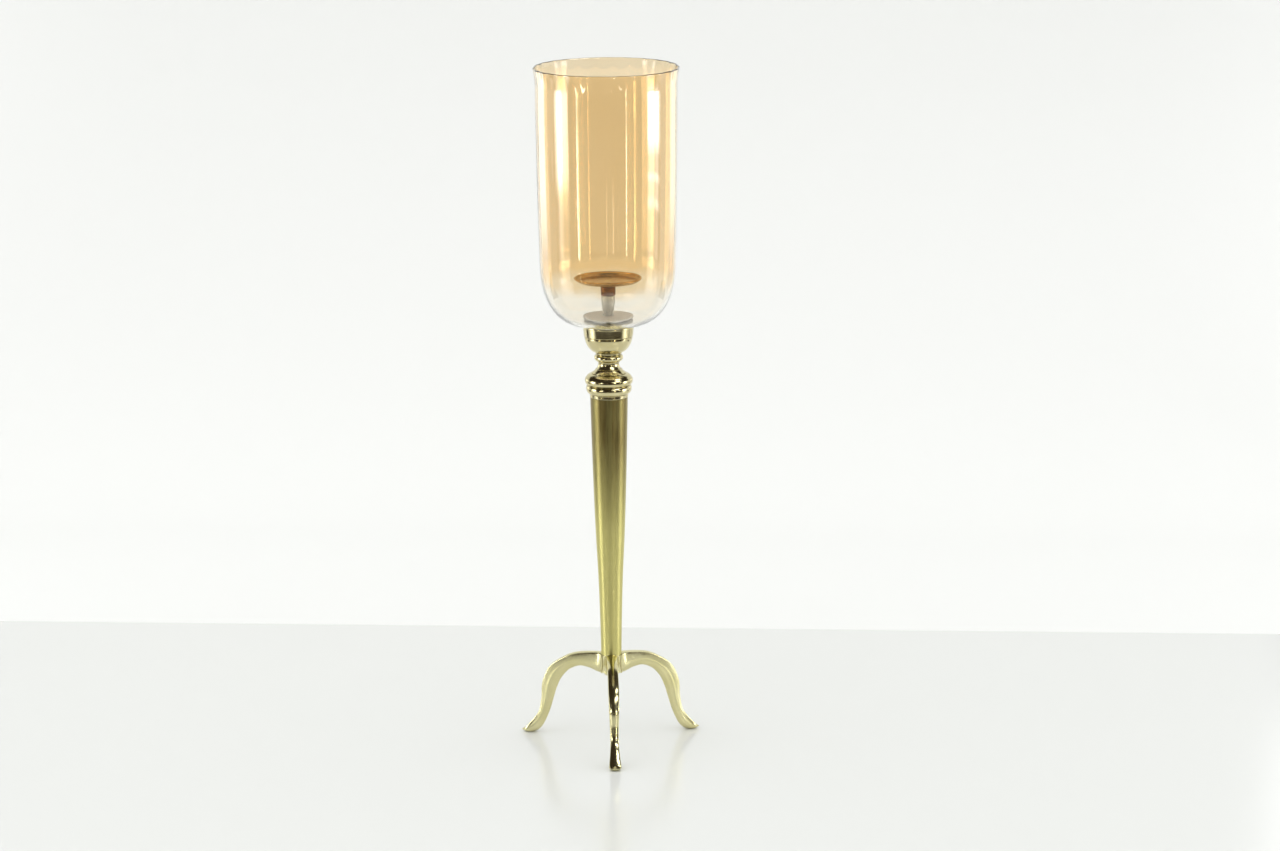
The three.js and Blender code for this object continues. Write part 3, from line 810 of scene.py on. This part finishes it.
def build_lantern():
    """Every piece but the hub is drawn anew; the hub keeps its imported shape, in the legs' brass."""
    for node in LEG_ANGLES:
        stand_for(leg(node), node, "stand")
    stand_for(column_tube(), "column_tube", "stand")
    stand_for(collar(), "collar", "stand")
    stand_for(neck_spool(), "neck_spool", "stand")
    stand_for(seat_cup(), "seat_cup", "stand")
    stand_for(washer("lower_gasket", 24, "pale_rubber"), "lower_gasket", "stand")
    stand_for(washer("cup_washer", ROD_HOLE, "bright_steel"), "cup_washer", "stand")
    stand_for(washer("hub_washer", ROD_HOLE, "bright_steel"), "hub_washer", "stand")
    stand_for(hex_nut("coupler_nut"), "coupler_nut", "stand")
    stand_for(hex_nut("hub_nut"), "hub_nut", "stand")
    stand_for(threaded_rod("tie_rod"), "tie_rod", "stand")
    stand_for(glass_shade(), "glass_shade", "shade")
    stand_for(washer("upper_gasket", ROD_HOLE, "pale_rubber"), "upper_gasket", "clamp_seal")
    stand_for(washer("clamp_washer", ROD_HOLE, "bright_steel"), "clamp_washer", "clamp_seal")
    stand_for(hex_nut("stem_nut"), "stem_nut", "candle_holder")
    stand_for(threaded_rod("stem_stud"), "stem_stud", "candle_holder")
    stand_for(stem_tube(), "stem_tube", "candle_holder")
    stand_for(pan_socket(), "pan_socket", "candle_holder")
    stand_for(candle_pan(), "candle_pan", "candle_holder")
    stand_for(pan_screw(), "pan_screw", "candle_holder")
    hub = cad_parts["tripod_hub"]
    hub.data.materials.clear()
    hub.data.materials.append(MATERIALS["cast_brass"])


build_lantern()


# ---------------------------------------------------------------- floor, light and camera

def plain_material(name, colour, roughness=0.5):
    s = Shader(name)
    s.set(Roughness=roughness)
    s.surface.inputs["Base Color"].default_value = (*colour, 1)
    return s.material


TABLE_EDGE = 0.57
TABLE_TURN = -0.106
BELOW_FEET = 0.0004


def backdrop():
    """A pale table top, and behind its far edge a paler wall that sweeps up from it."""
    sweep = 0.7
    profile = [(TABLE_EDGE, 0)]
    for step in range(1, 13):
        angle = math.radians(90 * step / 12)
        profile.append((TABLE_EDGE + 0.4 + sweep * math.sin(angle), sweep - sweep * math.cos(angle)))
    profile.append((TABLE_EDGE + 0.4 + sweep, 1.9))
    staged_strip("table_top", [(-14, 0), (TABLE_EDGE, 0)], (0.765, 0.775, 0.765), 0.2)
    staged_strip("wall", profile, (0.90, 0.905, 0.90), 0.5)


def clear_from_behind(tree, surface):
    """The surface on its front, and nothing on its back."""
    facing = tree.nodes.new("ShaderNodeNewGeometry")
    clear = tree.nodes.new("ShaderNodeBsdfTransparent")
    either = tree.nodes.new("ShaderNodeMixShader")
    tree.links.new(facing.outputs["Backfacing"], either.inputs[0])
    tree.links.new(surface, either.inputs[1])
    tree.links.new(clear.outputs[0], either.inputs[2])
    return either.outputs[0]


def seen_through_from_behind(material):
    """Makes the back of a surface clear, so that the lantern can be looked at from any side."""
    tree = material.node_tree
    surface = clear_from_behind(tree, tree.nodes["Principled BSDF"].outputs[0])
    tree.links.new(surface, tree.nodes["Material Output"].inputs["Surface"])
    return material


def staged_strip(name, profile, colour, roughness):
    """A wide strip of (y, z) steps that stands just under the lantern's feet."""
    half = 14
    mesh = bpy.data.meshes.new(name)
    vertices = [(x, y, z - BELOW_FEET) for y, z in profile for x in (-half, half)]
    faces = [(2 * k, 2 * k + 1, 2 * k + 3, 2 * k + 2) for k in range(len(profile) - 1)]
    mesh.from_pydata(vertices, [], faces)
    for face in mesh.polygons:
        face.use_smooth = True
    material = seen_through_from_behind(plain_material("pale_" + name, colour, roughness))
    strip = new_object(name, mesh, material)
    strip.rotation_euler = (0, 0, TABLE_TURN)


def around(azimuth, elevation, distance):
    """A place seen from the foot of the column: azimuth 0 is to the front and grows to the right."""
    a, e = math.radians(azimuth), math.radians(elevation)
    return Vector((
        distance * math.cos(e) * math.sin(a), -distance * math.cos(e) * math.cos(a), distance * math.sin(e),
    )) + AXIS


def glow_only(piece, transmission):
    """Only reflections see the piece, and light seen through the glass does if so asked."""
    piece.visible_camera = False
    piece.visible_diffuse = False
    piece.visible_shadow = False
    piece.visible_transmission = transmission


def glowing(name, strength, colour, one_sided=False):
    """Light of one strength, shaded by the mesh's own glow where it has one."""
    material = bpy.data.materials.new(name)
    material.use_nodes = True
    tree = material.node_tree
    tree.nodes.clear()
    glow = tree.nodes.new("ShaderNodeEmission")
    glow.inputs["Color"].default_value = (*colour, 1)
    if strength is None:
        share = tree.nodes.new("ShaderNodeAttribute")
        share.attribute_name = "glow"
        tree.links.new(share.outputs["Fac"], glow.inputs["Strength"])
    else:
        glow.inputs["Strength"].default_value = strength
    output = tree.nodes.new("ShaderNodeOutputMaterial")
    surface = glow.outputs[0]
    if one_sided:
        surface = clear_from_behind(tree, surface)
    tree.links.new(surface, output.inputs["Surface"])
    return material


def glow_sheet(name, rows, material, transmission=False):
    """Sheet through rows of (place, glow)."""
    wide = len(rows[0])
    faces = []
    for k in range(len(rows) - 1):
        for i in range(wide - 1):
            a = k * wide + i
            faces.append((a, a + 1, a + wide + 1, a + wide))
    mesh = bpy.data.meshes.new(name)
    mesh.from_pydata([tuple(place) for row in rows for place, _ in row], [], faces)
    glow = mesh.attributes.new("glow", "FLOAT", "POINT")
    glow.data.foreach_set("value", [value for row in rows for _, value in row])
    glow_only(new_object(name, mesh, material), transmission)


def turns(azimuths, step=4):
    """Even steps between two angles."""
    count = max(2, int(abs(azimuths[1] - azimuths[0]) / step))
    return [azimuths[0] + (azimuths[1] - azimuths[0]) * i / count for i in range(count + 1)]


def patch(name, azimuths, elevations, distance, strength, colour=(1, 1, 1)):
    """Part of a dome round the lantern: a lamp, or the dark room round it."""
    rows = [[(around(a, e, distance), 1) for a in turns(azimuths)] for e in turns(elevations)]
    glow_sheet(name, rows, glowing(name, strength, colour))


def upright(name, azimuths, levels, distance, colour=(1, 1, 1), share=1):
    """Part of an upright cylinder round the lantern, with its glow given at rising heights."""
    rows = []
    for height, strength in levels:
        lift = Vector((0, 0, height))
        rows.append([(around(a, 0, distance) + lift, strength * share) for a in turns(azimuths)])
    glow_sheet(name, rows, glowing(name, None, colour), True)


def dark_floor(name, azimuths, near, far):
    """The unlit floor of the room, beyond the near edge of the pale table, seen from above only."""
    lift = Vector((0, 0, 0.003))
    rows = [[(around(a, 0, distance) + lift, 1) for a in turns(azimuths, 3)] for distance in (far, near)]
    glow_sheet(name, rows, glowing(name, 1.0, DARK, one_sided=True))


def leg_glow(side):
    """Brighter band on the table beside a leg, seen from above only."""
    spine = ((0.345, -0.125, 0), (0.31, -0.10, 1.9), (0.275, -0.073, 1.4), (0.225, -0.04, 0.7), (0.17, 0, 0))
    rows = []
    for x, y, gain in spine:
        row = []
        for offset, share in ((-0.06, 0), (-0.03, 0.7), (0, 1), (0.03, 0.7), (0.06, 0)):
            place = AXIS + Vector((side * (x - 0.6 * offset), y + 0.8 * offset, 0.002))
            row.append((place, 1 + gain * share))
        rows.append(row)
    if side < 0:
        rows.reverse()
    glow_sheet("leg_glow", rows, glowing("leg_glow", None, TABLE_GLOW, one_sided=True))


DARK = (0.040, 0.030, 0.020)
LAMP_COLOUR = (1.0, 0.93, 0.70)
TABLE_GLOW = (0.82, 0.84, 0.80)
WINDOW_STEPS = ((71, 74, 0.3), (74, 77, 0.7), (77, 87, 1), (87, 91, 0.6), (91, 96, 0.35), (96, 100, 0.2))
LEFT_WINDOW = ((0, 1.5), (0.15, 2), (0.22, 9), (0.36, 12), (0.55, 12), (0.65, 4), (1.3, 2.5))
RIGHT_WINDOW = (
    (0, 1.5), (0.11, 1.5), (0.13, 5), (0.15, 2.5), (0.18, 2.5), (0.2, 6), (0.215, 2.5), (0.25, 2.5),
    (0.3, 10), (0.55, 10), (0.65, 4), (1.3, 2.5),
)
SIDE_WALL = ((0, 1.1), (0.3, 1.1), (0.42, 2.6), (0.7, 2.6), (0.76, 1.1))
STRIP = ((0, 13), (0.3, 13), (0.36, 6), (0.40, 6), (0.41, 13), (0.43, 13))
SHORT_STRIP = ((0, 5), (0.12, 5), (0.22, 0))


def studio():
    world = bpy.data.worlds.new("studio")
    SCENE.world = world
    world.use_nodes = True
    background = world.node_tree.nodes["Background"]
    background.inputs["Color"].default_value = (0.97, 0.975, 0.955, 1)
    background.inputs["Strength"].default_value = 1.22

    patch("dark_room", (-118, 118), (-4, 90), 7.0, 1.0, DARK)
    patch("dark_ceiling", (118, 242), (22, 90), 7.0, 1.0, DARK)
    dark_floor("dark_floor", (-66, 66), 1.12, 2.0)
    dark_floor("dark_floor", (-72, 72), 2.0, 7.0)
    for side, window in ((-1, LEFT_WINDOW), (1, RIGHT_WINDOW)):
        dark_floor("dark_floor_far", sorted((side * 107, side * 124)), 1.12, 2.9)
        for first, last, share in WINDOW_STEPS:
            upright("window", (side * first, side * last), window, 2.9, share=share)
        upright("bright_wall", (side * 124, side * 139), SIDE_WALL, 1.6, share=0.85 - 0.15 * side)
        leg_glow(side)
    upright("strip_left", (-45.9, -44.1), STRIP, 2.8, LAMP_COLOUR)
    upright("strip_right", (27.1, 28.9), STRIP, 2.8, LAMP_COLOUR)
    upright("strip_middle", (-8.5, -7.5), SHORT_STRIP, 2.8, LAMP_COLOUR)
    upright("strip_middle", (13.5, 14.5), SHORT_STRIP, 2.8, LAMP_COLOUR)
    patch("lamp_left", (-40, -32), (8, 14), 5.0, 8.0)
    patch("lamp_front", (24, 30), (8, 14), 5.0, 10.0)
    patch("lamp_side", (52, 57), (8, 14), 5.0, 10.0)
    patch("lamp_right", (16, 54), (31, 40), 5.0, 6.0)
    patch("lamp_high", (45, 82), (51, 62), 5.0, 6.0)


def key_light(name, place, size, power):
    light = bpy.data.lights.new(name, "AREA")
    light.shape = "SQUARE"
    light.size = size
    light.energy = power
    lamp = bpy.data.objects.new(name, light)
    lamp.location = place
    lamp.visible_glossy = False
    lamp.rotation_mode = "QUATERNION"
    lamp.rotation_quaternion = (Vector(place) - Vector((0, 0, 0.4))).to_track_quat("Z", "Y")
    SCENE.collection.objects.link(lamp)


def camera():
    """Eye height, 5.2 m away, a little to the left of the front leg and looking down 12 degrees."""
    data = bpy.data.cameras.new("camera")
    data.sensor_width = 36
    data.lens = 122.65
    data.clip_end = 100
    eye = bpy.data.objects.new("camera", data)
    yaw, pitch, roll = 0.0369, 0.2166, -0.0077
    forward = Vector((
        math.sin(yaw) * math.cos(pitch), math.cos(yaw) * math.cos(pitch), -math.sin(pitch),
    ))
    right = Vector((math.cos(yaw), -math.sin(yaw), 0))
    up = right.cross(forward)
    right, up = (
        right * math.cos(roll) + up * math.sin(roll),
        up * math.cos(roll) - right * math.sin(roll),
    )
    turn = Matrix((right, up, -forward)).transposed().to_4x4()
    eye.matrix_world = Matrix.Translation(AXIS + Vector((-0.1553, -5.2297, 1.5558))) @ turn
    SCENE.collection.objects.link(eye)
    SCENE.camera = eye


backdrop()
studio()
key_light("soft_key", (-1.6, -1.4, 2.8), 2.5, 4)
camera()
SCENE.view_settings.view_transform = "Standard"
SCENE.cycles.max_bounces = 24
SCENE.cycles.glossy_bounces = 16
SCENE.cycles.transmission_bounces = 24
